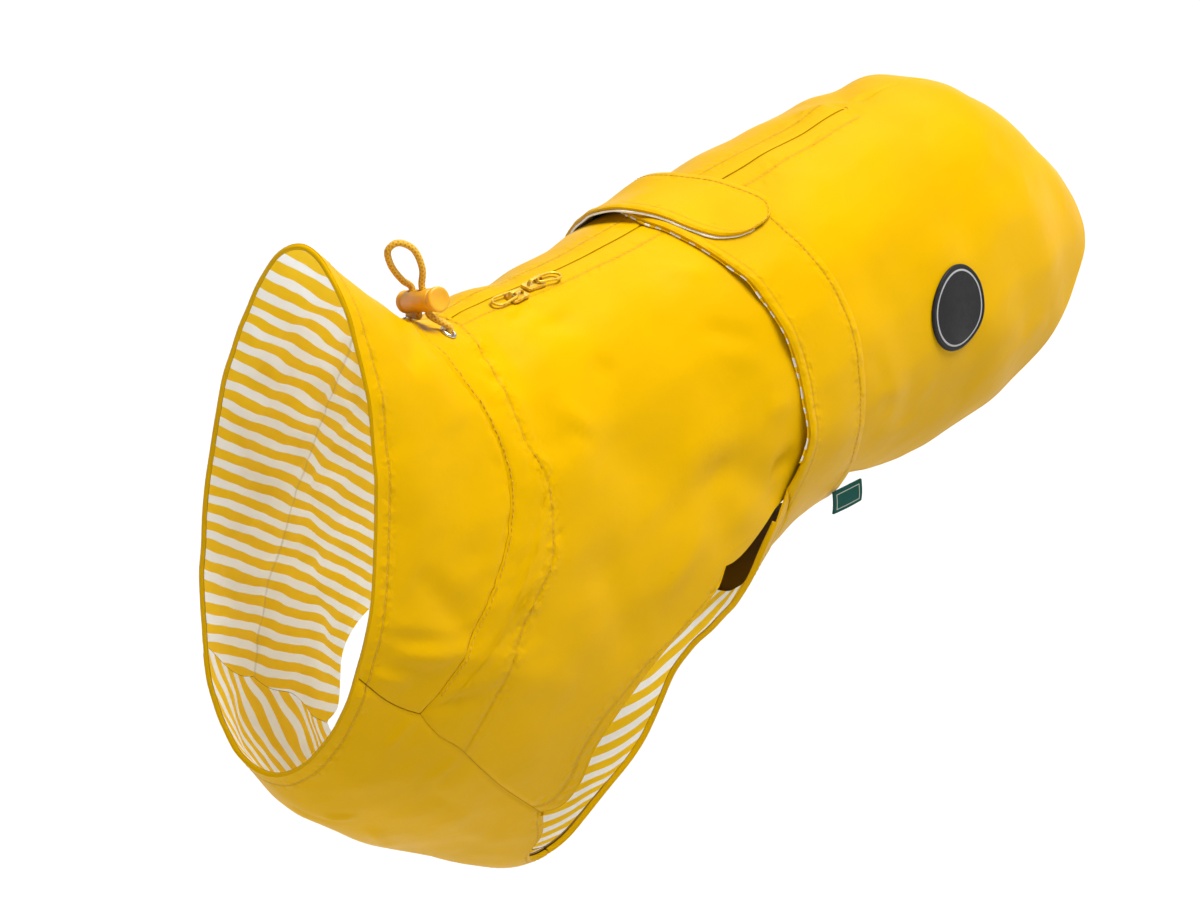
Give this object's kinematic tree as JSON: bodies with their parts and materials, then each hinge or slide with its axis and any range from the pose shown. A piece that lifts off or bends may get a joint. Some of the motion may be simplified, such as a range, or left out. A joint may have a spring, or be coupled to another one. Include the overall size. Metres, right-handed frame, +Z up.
{
  "type": "dog raincoat",
  "caption": "Dog raincoat filled out as worn: funnel collar, back panel with a concealed zip, chest piece, belly strip, wrap-up belt wings, striped lining and a drawcord with a barrel lock.",
  "frame": {"origin": "where the dog's withers hold the coat up: the inner face of the lining on the middle of the back, just behind the neck seam", "axes": "+X towards the dog's tail, +Y to the dog's right, +Z up"},
  "size_m": [0.5582, 0.171, 0.3579],
  "materials": {
    "outer_cloth": "satin",
    "striped_lining": "matte",
    "tape": "matte",
    "coated_metal": "satin",
    "eyelet_metal": "satin",
    "cord": "matte",
    "lock_plastic": "gloss",
    "patch_rubber": "matte",
    "label_cloth": "matte"
  },
  "bodies": {
    "coat": {"body": "outer_cloth", "collar": "outer_cloth", "chest_panel": "outer_cloth", "belly_panel": "outer_cloth", "wing_left": "outer_cloth", "wing_right": "outer_cloth", "neck_lining": "striped_lining", "chest_lining": "striped_lining", "belly_lining": "striped_lining", "wing_left_facing": "striped_lining", "wing_right_facing": "striped_lining", "zip_tape": "tape", "slider_front": "coated_metal", "slider_rear": "coated_metal", "eyelet_left": "eyelet_metal", "eyelet_right": "eyelet_metal", "drawcord": "cord", "cord_lock": "lock_plastic", "patch": "patch_rubber", "label": "label_cloth"},
    "front_pull": {"pull_front": "coated_metal"},
    "rear_pull": {"pull_rear": "coated_metal"},
    "lock_button": {"cord_lock_button": "lock_plastic"}
  },
  "joints": [
    {"name": "front_pull_lift", "type": "hinge", "parent": "coat", "child": "front_pull", "pos_m": [0.00709, -0.00763, 0.00581], "axis": [-0.0063, 0.986, 0.1667], "range_deg": [0, 120]},
    {"name": "rear_pull_lift", "type": "hinge", "parent": "coat", "child": "rear_pull", "pos_m": [0.02501, -0.00513, 0.0056], "axis": [-0.1556, -0.9823, -0.1042], "range_deg": [0, 120]},
    {"name": "lock_button_press", "type": "slide", "parent": "coat", "child": "lock_button", "axis": [0.137, 0.9189, -0.37], "range_m": [0, 0.0012], "stiffness_N_per_m": 400, "springref_m": -0.002}
  ]
}
